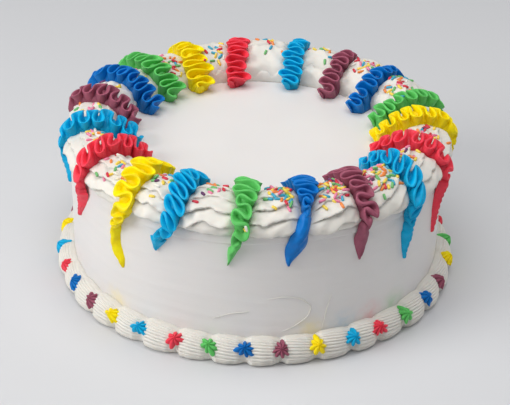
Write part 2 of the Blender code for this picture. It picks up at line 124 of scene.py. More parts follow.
# Each ribbon, from the front left round to the right and the back. start: where it begins along
# its line. inner, crest, outer and tip: its angles at the cake's top, over the middle of the
# border, at the border's edge and at the tip. bow: degrees that it bows sideways on the wall.
# ruffle_end: the share of its length with folds. width and outer_rise: its breadth, and its
# height at the border's edge, against the usual ones. tail_peak: how far down the tail it is
# widest, from 0 to 1. slant above 0: the right ends of its folds lie further down.
Ribbon = namedtuple(
    "Ribbon", "colour start inner crest outer tip bow tip_height folds ruffle_end width "
    "outer_rise tail_width tail_peak tail_rise slant")
RIBBONS = (
    Ribbon("red", 5 * MM, -62, -61.5, -58.3, -65.3, 0.0, 64 * MM,
           8, 0.72, 1.20, 0.45, 17.0 * MM, 0.03, 5.0 * MM, 0.40),
    Ribbon("yellow", 8 * MM, -44, -40, -37, -41.2, -4.6, 50 * MM,
           8, 0.74, 1.15, 0.60, 12.0 * MM, 0.68, 5.0 * MM, -0.10),
    Ribbon("light_blue", 4 * MM, -25, -23, -22.5, -29, -1.4, 75 * MM,
           10, 0.88, 1.10, 0.60, 13.5 * MM, 0.02, 5.0 * MM, 0.60),
    Ribbon("green", 5.5 * MM, -3.6, -2.8, -4, -7.5, 0.0, 74 * MM,
           8, 0.82, 0.98, 0.60, 7.5 * MM, 0.10, 5.0 * MM, 0.25),
    Ribbon("blue", 4 * MM, 18, 16.5, 11.8, 8.8, 0.8, 74 * MM,
           8, 0.62, 1.00, 0.55, 14.5 * MM, 0.55, 6.0 * MM, 0.35),
    Ribbon("purple", 7 * MM, 37, 33, 30.3, 30.6, 0.5, 70 * MM,
           8, 0.72, 1.02, 0.60, 12.5 * MM, 0.30, 5.0 * MM, 0.30),
    Ribbon("light_blue", 9 * MM, 53.5, 52.5, 48.5, 48.7, 0.0, 54 * MM,
           9, 0.76, 1.20, 0.60, 9.5 * MM, 0.10, 6.0 * MM, -0.45),
    Ribbon("red", 6.5 * MM, 69.5, 70, 68.3, 66.2, 0.0, 54.5 * MM,
           8, 0.66, 1.15, 0.50, 8.0 * MM, 0.40, 6.0 * MM, 0.00),
    Ribbon("yellow", 5 * MM, 83.5, 91, 92, 91, 0.0, 62 * MM,
           9, 0.74, 1.05, 0.60, 7.0 * MM, 0.20, 6.0 * MM, -0.20),
    Ribbon("green", 8 * MM, 99, 104, 108, 107, 0.0, 70 * MM,
           9, 0.78, 0.90, 0.60, 6.5 * MM, 0.20, 5.0 * MM, -0.30),
    Ribbon("blue", 1 * MM, 118.5, 126.5, 130.5, 130, 0.0, 58 * MM,
           9, 0.72, 0.88, 0.60, 7.5 * MM, 0.40, 5.0 * MM, -0.20),
    Ribbon("purple", 1 * MM, 140.5, 145.5, 148.5, 150, 0.0, 66 * MM,
           9, 0.80, 0.86, 0.60, 7.0 * MM, 0.30, 5.0 * MM, -0.10),
    Ribbon("light_blue", 1 * MM, 162.5, 165.5, 166, 166, 0.0, 72 * MM,
           9, 0.84, 0.95, 1.10, 6.5 * MM, 0.20, 5.0 * MM, 0.10),
    Ribbon("red", 1 * MM, 193, 188, 187, 187.5, 0.0, 60 * MM,
           8, 0.74, 1.05, 0.65, 7.0 * MM, 0.30, 5.0 * MM, 0.10),
    Ribbon("yellow", 1 * MM, 212, 208, 206.5, 206, 0.0, 52 * MM,
           8, 0.72, 1.22, 1.05, 7.5 * MM, 0.40, 5.0 * MM, 0.15),
    Ribbon("green", 3 * MM, 230, 226, 226.5, 226, 0.0, 68 * MM,
           8, 0.80, 1.12, 1.15, 6.5 * MM, 0.20, 5.0 * MM, 0.20),
    Ribbon("blue", 3 * MM, 248.5, 239, 239.5, 238, 0.0, 63 * MM,
           9, 0.76, 1.05, 1.15, 7.5 * MM, 0.30, 5.0 * MM, 0.15),
    Ribbon("purple", 9 * MM, 268, 257, 254, 254, 0.0, 57 * MM,
           8, 0.72, 1.02, 0.72, 7.5 * MM, 0.30, 5.0 * MM, 0.10),
    Ribbon("light_blue", 7 * MM, 284, 278, 278, 280, 0.0, 72 * MM,
           8, 0.80, 1.30, 0.35, 7.0 * MM, 0.10, 4.0 * MM, 0.10),
)

# Sprinkles
SPRINKLE_LENGTH = 5.0 * MM
SPRINKLE_RADIUS = 1.08 * MM
SPRINKLE_SPACING = 1.9 * MM
SPRINKLE_RIBBON_CLEAR = 8.2 * MM
HEAP_FIRST = 0.28
HEAP_LAST = 0.84
HEAP_SPREAD_OVER = 0.085
HEAP_SPREAD_ACROSS = 0.30
SPRINKLE_SHARES = {
    "yellow": 0.26, "orange": 0.13, "red": 0.16, "pink": 0.15, "green": 0.11, "light_blue": 0.11,
    "white": 0.05, "purple": 0.03,
}

# Single sprinkles that fell on a ribbon or the wall: kind, angle, place along the line of a
# ribbon (past 1 on the wall) and turn
STRAYS = (
    ("yellow", -2.6, 0.93, 0.7), ("white", -2.2, 0.92, 2.4), ("purple", -68.0, 1.55, 1.2),
    ("pink", 71.0, 0.62, 0.3), ("light_blue", 104.0, 0.45, 1.9), ("red", 205.5, 0.30, 0.8),
)

# Shell border round the foot
SHELL_DEPTH = 12.3 * MM
SHELL_HEIGHT = 19.0 * MM
SHELL_COLUMNS = 26
SHELL_ROWS = 92
SHELL_RIBS = 12
SHELL_RIB_SLOPE = 2.6
SHELL_RIB_DEPTH = 0.55 * MM
SHELL_TUCK = 0.95
SHELL_FULLNESS = 0.62
SHELL_TOP_SHARE = 0.9

# Small piped stars at the joints of the shells
STAR_RADIUS = 5.7 * MM
STAR_HEIGHT = 5.4 * MM
STAR_SEAT = 1.6 * MM
STAR_WRAP = 11.0 * MM
STAR_RING_RADIUS = 142.0 * MM
STAR_RING_HEIGHT = 9.4 * MM
STAR_TILT = 45
STAR_PEAK_BEND = 0.8 * MM
SEEN_STAR_ANGLES = (-95, -83.2, -72, -62, -51.7, -42.2, -32.2, -21.4, -11.6, -2.0,
                    7.5, 17.6, 28.0, 36.7, 47.0, 57.7, 67.8, 80.5, 91.5, 103)
HIDDEN_STARS = 15
SEEN_STAR_COLOURS = ("yellow", "light_blue", "red", "blue", "purple", "yellow", "light_blue", "red",
                     "green", "blue", "purple", "yellow", "light_blue", "red", "green", "blue",
                     "purple", "yellow", "green", "red")
HIDDEN_STAR_COLOURS = ("green", "blue", "purple", "yellow", "light_blue", "red")

# Icing and sprinkle colours, linear
WALL_WHITE = (0.79, 0.765, 0.745)
PIPED_WHITE = (0.77, 0.74, 0.68)
ICING_COLOURS = {
    "red": (0.87, 0.054, 0.09),
    "yellow": (1.0, 0.74, 0.001),
    "light_blue": (0.001, 0.405, 0.71),
    "blue": (0.0005, 0.165, 0.54),
    "green": (0.12, 0.55, 0.13),
    "purple": (0.335, 0.088, 0.14),
}
SPRINKLE_COLOURS = {
    "yellow": (0.92, 0.66, 0.09), "orange": (0.88, 0.26, 0.06), "red": (0.66, 0.03, 0.06),
    "pink": (0.84, 0.24, 0.38), "green": (0.17, 0.50, 0.17), "light_blue": (0.05, 0.38, 0.56),
    "white": (0.84, 0.81, 0.74), "purple": (0.14, 0.04, 0.13),
}

# Colour that bled from some stars on to the wall: angle and colour of each patch
STAIN_HEIGHT = 21 * MM
STAIN_REACH = 14 * MM
STAIN_STRENGTH = 0.40
STAINS = ((-42.6, "yellow"), (17.6, "yellow"), (28.2, "light_blue"), (37.2, "red"), (47.3, "green"))

# Thin threads of icing that dried on the wall: angle and height of points along each
THREAD_RADIUS = 0.42 * MM
THREAD_LIFT = 0.35 * MM
THREADS = (
    ((7.5, 21), (11.5, 25), (15.5, 32), (16.5, 40), (13.5, 47), (8.5, 50), (3.0, 48)),
    ((19.8, 19), (20.6, 28), (21.2, 37), (22.6, 48)),
    ((-12.0, 30), (-6.5, 36), (-1.0, 38.5)),
)

# Floor and soft light. Each lamp: name, place, what it points at, size, power and colour
FLOOR_HALF = 4.0
FLOOR_COLOUR = (0.65, 0.655, 0.67)
LAMPS = (
    ("window_light", (-1.5, -0.65, 0.95), (0, 0, 0.05), 1.0, 17.5, (1.0, 0.99, 0.98)),
    ("ceiling_light", (-0.1, -0.32, 1.87), (0, 0, 0.1), 1.8, 22.5, (1.0, 0.99, 0.98)),
    ("right_fill", (1.7, 0.7, 0.9), (0.1, 0, 0.0), 1.2, 5.5, (0.98, 0.99, 1.0)),
)
ROOM_COLOUR = (0.95, 0.97, 1.0, 1.0)
ROOM_STRENGTH = 0.275

# Camera, from the photograph's frame of 510 by 405
FRAME_WIDTH = 510
CAMERA_FOCAL_PIXELS = 1400
CAMERA_ELEVATION = 29.84
CAMERA_ROLL = 1.217
CAMERA_DISTANCE = 1.0573
CAMERA_TARGET = Vector((-0.0007, 0.0, 0.0442))
SENSOR_WIDTH = 36.0


# Shape helpers

def eased(value, *points):
    """A curve through (position, value) points, level at each point and at both ends."""
    result = np.full_like(value, points[0][1], dtype=float)
    for (start, here), (end, there) in zip(points, points[1:]):
        share = np.clip((value - start) / (end - start), 0, 1)
        result += (there - here) * share * share * (3 - 2 * share)
    return result


def wander(value, seed, *waves):
    """A slow smooth wander between about -1 and 1, from a few waves of unlike length."""
    result = np.zeros_like(value, dtype=float)
    for index, wave in enumerate(waves):
        result += np.sin(value * wave + seed * (1.7 + index) + 2.1 * index) / len(waves)
    return result


def around(angle, radius, height):
    """Points at an angle in degrees, a radius and a height, as rows of x, y and z."""
    turn = np.radians(angle)
    return np.stack((radius * np.sin(turn), -radius * np.cos(turn), height + 0 * turn), axis=-1)


def shaped_grid(columns, rows, shape, merge=0.004 * MM):
    """A grid laid out by shape(u, v), both from 0 to 1; seams and poles that meet are merged.

    A fourth column beside x, y and z is painted light: 0 deep in a shaded crease and 1 outside.
    """
    bm = bmesh.new()
    bmesh.ops.create_grid(bm, x_segments=columns, y_segments=rows, size=0.5)
    painted_light = bm.verts.layers.float.new(PAINTED_LIGHT)
    flat = np.array([vert.co for vert in bm.verts])
    u = np.clip(flat[:, 0] + 0.5, 0, 1)
    v = np.clip(flat[:, 1] + 0.5, 0, 1)
    laid = shape(u, v)
    if laid.shape[1] == 3:
        laid = np.column_stack((laid, np.ones(len(laid))))
    for vert, place in zip(bm.verts, laid):
        vert.co = place[:3]
        vert[painted_light] = place[3]
    bmesh.ops.remove_doubles(bm, verts=bm.verts, dist=merge)
    bmesh.ops.dissolve_degenerate(bm, edges=bm.edges, dist=merge)
    bmesh.ops.recalc_face_normals(bm, faces=bm.faces)
    return bm


def join_shape(bm, other):
    """Adds a second shape to the first and lets go of it."""
    mesh = bpy.data.meshes.new("part")
    other.to_mesh(mesh)
    other.free()
    bm.from_mesh(mesh)
    bpy.data.meshes.remove(mesh)


def add_piece(name, bm, material, slot, *nodes):
    """Makes the piece, rides it on the cake and lets it stand for the solids it replaces."""
    mesh = bpy.data.meshes.new(name)
    bm.to_mesh(mesh)
    bm.free()
    mesh.shade_smooth()
    mesh.materials.append(material)
    piece = bpy.data.objects.new(name, mesh)
    bpy.context.scene.collection.objects.link(piece)
    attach(piece, "root")
    if nodes:
        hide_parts(*nodes)


# Shader helpers

class Wire:
    """A socket of a node tree, with the arithmetic that the finishes use."""

    def __init__(self, tree, socket):
        self.tree = tree
        self.socket = socket

    def math(self, operation, *values):
        node = self.tree.nodes.new("ShaderNodeMath")
        node.operation = operation
        for socket, value in zip(node.inputs, values):
            connect(self.tree, socket, value)
        return Wire(self.tree, node.outputs[0])

    def __add__(self, other):
        return self.math("ADD", self, other)

    def __radd__(self, other):
        return self.math("ADD", other, self)

    def __mul__(self, other):
        return self.math("MULTIPLY", self, other)

    def __rmul__(self, other):
        return self.math("MULTIPLY", other, self)


def connect(tree, socket, value):
    if isinstance(value, Wire):
        tree.links.new(value.socket, socket)
    else:
        socket.default_value = value


class Finish:
    """One material: its nodes come from node(), and close() joins them to the shader."""

    def __init__(self, name, colour, roughness, subsurface=0.0, specular=0.5):
        self.material = bpy.data.materials.new(name)
        self.material.use_nodes = True
        self.tree = self.material.node_tree
        self.shader = self.tree.nodes["Principled BSDF"]
        self.shader.inputs["Subsurface Weight"].default_value = subsurface
        self.shader.inputs["Subsurface Radius"].default_value = (0.003, 0.002, 0.0015)
        self.shader.inputs["Subsurface Scale"].default_value = 1.0
        self.shader.inputs["IOR"].default_value = 1.45
        self.shader.inputs["Specular IOR Level"].default_value = specular
        self.shader.inputs["Base Color"].default_value = (*colour, 1.0)
        self.shader.inputs["Roughness"].default_value = roughness
        self.place = self.node("ShaderNodeTexCoord", out="Object")

    def node(self, kind, settings=None, out=0, **values):
        made = self.tree.nodes.new(kind)
        for key, value in (settings or {}).items():
            setattr(made, key, value)
        for key, value in values.items():
            connect(self.tree, made.inputs[key.replace("_", " ")], value)
        return Wire(self.tree, made.outputs[out])

    def noise(self, scale, detail=3.0, rough=0.55, where=None):
        return self.node("ShaderNodeTexNoise", Vector=where or self.place, Scale=scale,
                         Detail=detail, Roughness=rough)

    def mixed(self, factor, first, second):
        mix = self.tree.nodes.new("ShaderNodeMix")
        mix.data_type = "RGBA"
        sockets = [socket for socket in mix.inputs if socket.enabled]
        for socket, value in zip(sockets, (factor, first, second)):
            connect(self.tree, socket, value)
        return Wire(self.tree, next(socket for socket in mix.outputs if socket.enabled))

    def ramp(self, value, low, high):
        return self.node("ShaderNodeMapRange", {"clamp": True}, Value=value, From_Min=low,
                         From_Max=high)

    # Painted light: 0 where the finishes paint crease shade, 1 where they paint none
    def painted_light(self):
        return self.node("ShaderNodeAttribute", {"attribute_name": PAINTED_LIGHT}, out="Fac")

    def near(self, point, reach):
        """1 at a point, falling to 0 at the given reach from it."""
        away = self.tree.nodes.new("ShaderNodeVectorMath")
        away.operation = "DISTANCE"
        connect(self.tree, away.inputs[0], self.place)
        connect(self.tree, away.inputs[1], point)
        return self.ramp(Wire(self.tree, away.outputs["Value"]), reach, 0.0)

    def close(self, colour=None, roughness=None, height=None, strength=0.3, distance=0.5 * MM):
        if colour is not None:
            connect(self.tree, self.shader.inputs["Base Color"], colour)
        if roughness is not None:
            connect(self.tree, self.shader.inputs["Roughness"], roughness)
        if height is not None:
            bump = self.node("ShaderNodeBump", Height=height, Strength=strength, Distance=distance)
            connect(self.tree, self.shader.inputs["Normal"], bump)
        return self.material


def shade(colour, amount):
    return (*(min(1.0, part * amount) for part in colour), 1.0)


def wall_finish():
    """Smooth white icing with faint level spatula lines and colour that bled from some stars."""
    finish = Finish("smooth_white_icing", WALL_WHITE, 0.5, subsurface=0.15)
    level = finish.node("ShaderNodeMapping", Vector=finish.place, Scale=(1.0, 1.0, 9.0))
    lines = finish.noise(34.0, 4.0, 0.6, where=level)
    spots = finish.noise(420.0, 2.0)
    cloud = finish.noise(14.0, 2.0)
    clouds = finish.ramp(cloud, 0.3, 0.7)
    tint = finish.mixed(clouds, shade(WALL_WHITE, 0.975), shade(WALL_WHITE, 1.01))
    smear = finish.ramp(finish.noise(90.0, 3.0), 0.35, 0.75)
    for angle, colour_name in STAINS:
        point = Vector(around(angle - 1.5, WALL_RADIUS, STAIN_HEIGHT))
        stain = finish.near(point, STAIN_REACH) * smear * STAIN_STRENGTH
        tint = finish.mixed(stain, tint, (*ICING_COLOURS[colour_name], 1.0))
    rough = 0.44 + 0.16 * lines
    return finish.close(tint, rough, lines + spots * 0.12, strength=0.22, distance=0.7 * MM)


def piped_white_finish():
    """Piped white icing, with the fine grain of whipped fat and painted shade in its creases."""
    finish = Finish("piped_white_icing", PIPED_WHITE, 0.5, subsurface=0.18)
    grain = finish.noise(900.0, 2.0)
    soft = finish.noise(160.0, 3.0)
    clouds = finish.ramp(soft, 0.3, 0.7)
    tint = finish.mixed(clouds, shade(PIPED_WHITE, 0.97), shade(PIPED_WHITE, 1.02))
    # Painted shade: a darker white where the painted light falls, in swirl grooves and shell ribs
    tint = finish.mixed(finish.painted_light(), shade(PIPED_WHITE, 0.80), tint)
    return finish.close(tint, 0.42 + 0.14 * soft, soft * 0.7 + grain * 0.3, strength=0.25)


def coloured_finish(colour_name):
    """Coloured icing: streaks, soft gloss that varies, and painted crease shade, darkest in deep
    hues.
    """
    colour = ICING_COLOURS[colour_name]
    finish = Finish(f"{colour_name}_icing", colour, 0.4, subsurface=0.08, specular=0.24)
    streak = finish.noise(130.0, 4.0, 0.6)
    grain = finish.noise(850.0, 2.0)
    tint = finish.mixed(finish.ramp(streak, 0.28, 0.72), shade(colour, 0.88), shade(colour, 1.16))
    # Painted shade in creases and grooves; light colours get less of it than deep ones
    lightness = 0.21 * colour[0] + 0.72 * colour[1] + 0.07 * colour[2]
    tint = finish.mixed(finish.painted_light(), shade(colour, 0.5 + 0.6 * lightness), tint)
    return finish.close(tint, 0.32 + 0.18 * streak, streak * 0.6 + grain * 0.4, strength=0.3)


def sprinkle_finish(kind):
    colour = SPRINKLE_COLOURS[kind]
    finish = Finish(f"{kind}_sprinkle", colour, 0.35, subsurface=0.05)
    mottle = finish.noise(700.0, 2.0)
    tint = finish.mixed(finish.ramp(mottle, 0.3, 0.7), shade(colour, 0.88), shade(colour, 1.1))
    return finish.close(tint, 0.30 + 0.15 * mottle, mottle, strength=0.15, distance=0.2 * MM)


# Iced cake

def wall_relief(angle, height):
    """Small hollows and swells of a hand-smoothed wall, and the step below the top in front."""
    swell = 0.30 * MM * wander(np.radians(angle), 0.4, 3, 7, 11) * wander(height, 1.2, 40, 90)
    lines = 0.10 * MM * wander(height + 0.002 * np.sin(np.radians(angle) * 5), 2.0, 520, 830)
    wave = np.sin(np.radians(angle * 2.1) + 0.6) + 0.4 * np.sin(np.radians(angle * 7.0))
    step_height = CAKE_HEIGHT - STEP_BELOW_TOP + 1.0 * MM * wave
    step = STEP_DEPTH * np.clip((height - step_height) / (0.6 * MM), 0, 1)
    step = step * eased(np.abs(angle - STEP_MIDDLE_ANGLE), (34.0, 1.0), (48.0, 0.0))
    fade = eased(height, (0.0, 0.3), (0.02, 1.0), (CAKE_HEIGHT - 6 * MM, 1.0), (CAKE_HEIGHT, 0.0))
    return (swell + lines + step) * fade


def make_iced_cake(material):
    """Foot, wall, rounded edge and flat top, spun round the axis and then hand-smoothed."""
    profile = [(0.0, 0.0), (WALL_RADIUS - FOOT_CHAMFER, 0.0), (WALL_RADIUS, FOOT_CHAMFER)]
    step_low = CAKE_HEIGHT - STEP_BELOW_TOP - 2 * MM
    wall_stops = ((FOOT_CHAMFER, step_low, 60), (step_low, step_low + 5 * MM, 14),
                  (step_low + 5 * MM, CAKE_HEIGHT - EDGE_ROUND, 5))
    for low, high, rows in wall_stops:
        for row in range(1, rows + 1):
            profile.append((WALL_RADIUS, low + (high - low) * row / rows))
    for row in range(1, EDGE_STEPS + 1):
        turn = math.pi / 2 * row / EDGE_STEPS
        profile.append((WALL_RADIUS - EDGE_ROUND + EDGE_ROUND * math.cos(turn),
                        CAKE_HEIGHT - EDGE_ROUND + EDGE_ROUND * math.sin(turn)))
    for share in (0.85, 0.7, 0.55, 0.4, 0.25, 0.1, 0.0):
        profile.append((WALL_RADIUS * share, CAKE_HEIGHT))
    bm = bmesh.new()
    verts = [bm.verts.new((radius, 0.0, height)) for radius, height in profile]
    edges = [bm.edges.new(pair) for pair in zip(verts, verts[1:])]
    bmesh.ops.spin(bm, geom=verts + edges, cent=(0, 0, 0), axis=(0, 0, 1), angle=TAU,
                   steps=ROUND_STEPS, use_merge=True, use_normal_flip=False, use_duplicate=False)
    bmesh.ops.remove_doubles(bm, verts=bm.verts, dist=0.01 * MM)
    bmesh.ops.recalc_face_normals(bm, faces=bm.faces)
    places = np.array([vert.co for vert in bm.verts])
    angle = np.degrees(np.arctan2(places[:, 0], -places[:, 1]))
    out = np.hypot(places[:, 0], places[:, 1])
    on_wall = (out > WALL_RADIUS - 0.01 * MM) & (places[:, 2] > 1.0 * MM)
    grow = np.where(on_wall, wall_relief(angle, places[:, 2]) / np.maximum(out, MM), 0.0)
    for vert, share in zip(bm.verts, grow):
        vert.co.x *= 1 + share
        vert.co.y *= 1 + share
    tree = BVHTree.FromBMesh(bm)
    add_piece("iced_wall", bm, material, "wall_icing", "cake_body")
    return tree


def make_threads(material):
    """Thin threads of white icing lying on the wall."""
    for number, points in enumerate(THREADS, 1):
        angles = np.array([point[0] for point in points], dtype=float)
        heights = np.array([point[1] for point in points], dtype=float) * MM
        stops = np.linspace(0, 1, len(points))

        def shape(u, v):
            angle = sum(np.interp(u + shift, stops, angles) for shift in (-0.04, 0, 0.04)) / 3
            height = sum(np.interp(u + shift, stops, heights) for shift in (-0.04, 0, 0.04)) / 3
            thin = THREAD_RADIUS * np.sqrt(np.clip(np.sin(math.pi * u), 0, 1))
            turn = TAU * v
            side = thin * np.cos(turn)
            return around(angle + np.degrees(side / WALL_RADIUS),
                          WALL_RADIUS + THREAD_LIFT + thin * np.sin(turn), height + 0.5 * side)

        add_piece(f"icing_thread_{number}", shaped_grid(60, 8, shape), material, "border_icing")


# Top border

def bed_outside(along):
    """Radius, height and outward way (radius, height) from the crest, 0.5, to the edge, 1."""
    turn = math.pi * (along - 0.5)
    radius = BED_MIDDLE + BED_OUTER_REACH * np.sin(turn)
    height = CAKE_HEIGHT + GAP + BED_FOOT + BED_HEIGHT * np.cos(turn)
    out_r = BED_HEIGHT * np.sin(turn)
    out_z = BED_OUTER_REACH * np.cos(turn)
    size = np.hypot(out_r, out_z)
    return radius, height, out_r / size, out_z / size


def ribbon_line(along):
    """The line a ribbon follows: up a slope from the cake's top, then over the bed."""
    inward = 1 - 2 * np.minimum(along, 0.5)
    fall = RIBBON_SLOPE * BED_HEIGHT * inward ** (RIBBON_SLOPE - 1)
    size = np.hypot(fall, RIBBON_REACH)
    inside = (BED_MIDDLE - RIBBON_REACH * inward,
              CAKE_HEIGHT + GAP + BED_FOOT + BED_HEIGHT * (1 - inward ** RIBBON_SLOPE),
              -fall / size, RIBBON_REACH / size)
    outside = bed_outside(np.maximum(along, 0.5))
    return [np.where(along < 0.5, here, there) for here, there in zip(inside, outside)]


def ground_height(radius):
    """The icing under a ribbon's foot: the cake's top, then the steep inner side of the bed."""
    inward = np.clip((BED_MIDDLE - radius) / BED_INNER_REACH, 0, 1)
    rise = BED_FOOT + BED_HEIGHT * np.sqrt(1 - inward * inward)
    return CAKE_HEIGHT + GAP + WALL_GAP + np.where(inward < 1, rise, 0.0)


def ribbon_angle(ribbon, along):
    """Angle of a ribbon's line: straight runs between its four points, softened at the bends."""
    stops = (0.0, 0.5, 1.0, 2.0)
    angles = (ribbon.inner, ribbon.crest, ribbon.outer, ribbon.tip)
    shifts = (-0.2, -0.1, 0.0, 0.1, 0.2)
    line = sum(np.interp(along + shift, stops, angles) for shift in shifts) / len(shifts)
    return line + ribbon.bow * np.sin(math.pi * np.clip(along - 1, 0, 1))


def next_ribbon(index):
    """The ribbon after this one, a full turn on past the last."""
    if index + 1 < len(RIBBONS):
        return RIBBONS[index + 1]
    first = RIBBONS[0]
    return first._replace(inner=first.inner + 360, crest=first.crest + 360,
                          outer=first.outer + 360, tip=first.tip + 360)


def lip_curve(phase):
    """One lip of a swirl: how far it stands out and how far it hangs over the next groove."""
    stand = np.interp(phase, (0.0, 0.25, 0.78, 0.88, 0.94, 1.0), (0.0, 0.30, 0.88, 1.0, 0.9, 0.0))
    hang = np.interp(phase, (0.0, 0.40, 0.90, 0.96, 1.0), (0.0, 0.15, 1.0, 0.95, 0.0))
    return stand, hang


def bed_route():
    """The line that the swirls stand on: up the inner side, over and round the outer edge."""
    turn = np.linspace(0, math.pi / 2, 41)[:-1]
    size = np.hypot(BED_HEIGHT * np.cos(turn), BED_INNER_REACH * np.sin(turn))
    radius = BED_MIDDLE - BED_INNER_REACH * np.cos(turn)
    inside = (radius, CAKE_HEIGHT + GAP + BED_FOOT + BED_HEIGHT * np.sin(turn),
              -BED_HEIGHT * np.cos(turn) / size, BED_INNER_REACH * np.sin(turn) / size,
              0.5 * (1 - (BED_MIDDLE - radius) / RIBBON_REACH))
    along = np.linspace(0.5, 1, 61)
    outside = (*bed_outside(along), along)
    bend = np.linspace(0, math.pi / 2, 13)[1:]
    last_radius = BED_MIDDLE + BED_OUTER_REACH
    edge = (last_radius - LIP_INSET * (1 - np.cos(bend)),
            CAKE_HEIGHT + GAP + BED_FOOT - (LIP_DROP + GAP + BED_FOOT) * np.sin(bend),
            np.cos(bend), -np.sin(bend), 1 + 0 * bend)
    radius, height, out_r, out_z, along = (
        np.concatenate(parts) for parts in zip(inside, outside, edge))
    length = np.append(0, np.cumsum(np.hypot(np.diff(radius), np.diff(height))))
    return length / length[-1], radius, height, out_r, out_z, along


def make_swirl_border(material):
    """The white border: one ring whose lips overlap between the ribbons and sink under them."""
    share, *route = bed_route()
    under_stops = (0.0, 0.25, 0.45, 0.9, 1.0)
    low_corner = (WALL_RADIUS - SINK, CAKE_HEIGHT - LIP_DROP)
    high_corner = (WALL_RADIUS - SINK, CAKE_HEIGHT - SINK)

    def swirl_surface(index, across, where):
        """The swirl after ribbon index: its angle, radius, height and painted light for its
        grooves.

        across runs from this ribbon to the next, and where from the inner foot to the outer edge.
        """
        base_r, base_z, n_r, n_z, along = (np.interp(where, share, column) for column in route)
        start = ribbon_angle(RIBBONS[index], along)
        end = ribbon_angle(next_ribbon(index), along)
        angle = start + (end - start) * across
        behind = np.clip(-np.cos(np.radians(angle)), 0, 1)
        stretch = np.where(along < 0.5, 1 + BACK_STRETCH * behind, 1.0)
        base_r = BED_MIDDLE + (base_r - BED_MIDDLE) * stretch
        n_r = n_r / stretch
        width = np.radians(end - start) * base_r
        near = np.minimum(across, 1 - across) * width
        window = 1 - (1 - np.clip((near - SWIRL_EDGE_CLEAR) / SWIRL_EDGE_RISE, 0, 1)) ** 2.2
        style = SWIRLS[index]
        draw = random.Random(40 + index)
        seed = draw.uniform(0, 6)
        arc = draw.choice((-0.35, -0.2, 0.2, 0.35))
        lean = across - 0.5
        long_wave = TAU * draw.uniform(1.1, 1.6) * across + seed
        short_wave = TAU * draw.uniform(2.4, 3.4) * across + 2.3 * seed + 5 * where
        ripple = 0.13 * np.sin(long_wave) * (0.3 + 0.7 * where)
        ripple = ripple + 0.07 * np.sin(short_wave)
        ripple = ripple + 0.02 * np.sin(TAU * 6.3 * across + 3.1 * seed + 9 * where)
        phase = SWIRL_LIPS * where ** 1.5 + style.slant * lean + 4 * arc * lean * lean + ripple
        stand, hang = lip_curve(np.mod(phase + seed, 1.0))
        depth = eased(where, (0.0, 0.8 * MM), (0.15, 2.3 * MM), (0.32, 2.1 * MM), (0.55, 1.8 * MM),
                      (0.72, 3.3 * MM), (0.92, 3.0 * MM), (1.0, 1.0 * MM))
        depth = depth * (0.78 + 0.45 * wander(across * 9 + where * 7, seed, 1.0, 1.7, 3.1))
        body = SWIRL_HEIGHT * eased(where, (0.0, 0.0), (0.20, 0.38), (0.42, 1.0), (0.65, 0.88),
                                    (0.9, 0.5), (1.0, 0.05))
        lumps = wander(across * 9 + 2 * np.sin(where * 15), seed, 1.0, 1.9)
        lumps = lumps + wander(where * 26 + 2 * np.sin(across * 8), 2 * seed, 1.0, 1.7)
        lumps = LUMP_DEPTH * lumps * eased(where, (0.0, 0.4), (0.2, 1.3), (0.9, 0.8), (1.0, 0.2))
        high = style.height * body * (0.64 + 0.36 * np.sin(math.pi * np.clip(across, 0, 1)))
        off = window * (high + depth * (stand - 0.5) + lumps)
        slide = 0.75 * window * hang * depth
        # Painted light: darker in the grooves between the lips, where they stand low, and full near
        # the ribbons
        lit = 1 - window * (0.8 - 0.8 * np.clip(2.2 * stand, 0, 1))
        return angle, base_r + n_r * off + n_z * slide, base_z + n_z * off - n_r * slide, lit

    def shape(u, v):
        places = np.zeros((len(u), 4))
        position = np.mod(u, 1.0) * len(RIBBONS)
        sector = np.minimum(np.floor(position + 1e-6), len(RIBBONS) - 1).astype(int)
        for index in range(len(RIBBONS)):
            chosen = sector == index
            across = np.clip(position[chosen] - index, 0, 1)
            loop = v[chosen]
            angle, r, z, lit = swirl_surface(index, across, np.clip(loop / SWIRL_TOP_SHARE, 0, 1))
            angle_in, r_in, z_in, _ = swirl_surface(index, across, 0 * across)
            angle_out, r_out, z_out, _ = swirl_surface(index, across, 1 + 0 * across)
            below = np.clip((loop - SWIRL_TOP_SHARE) / (1 - SWIRL_TOP_SHARE), 0, 1)
            under_r = r_out
            under_z = z_out
            corners = (low_corner, high_corner, (r_in, CAKE_HEIGHT - SINK), (r_in, z_in))
            for start, end, (next_r, next_z) in zip(under_stops, under_stops[1:], corners):
                part = np.clip((below - start) / (end - start), 0, 1)
                under_r = under_r + (next_r - under_r) * part
                under_z = under_z + (next_z - under_z) * part
            under_angle = angle_out + (angle_in - angle_out) * eased(below, (0.45, 0.0), (0.9, 1.0))
            under = loop > SWIRL_TOP_SHARE
            place = around(np.where(under, under_angle, angle), np.where(under, under_r, r),
                           np.where(under, under_z, z))
            places[chosen] = np.column_stack((place, np.where(under, 1.0, lit)))
        return places

    bm = shaped_grid(SWIRL_COLUMNS * len(RIBBONS), SWIRL_ROWS, shape)
    surface_tree = BVHTree.FromBMesh(bm)
    add_piece("swirl_border", bm, material, "border_icing", "top_border")
    return surface_tree


# Ribbons

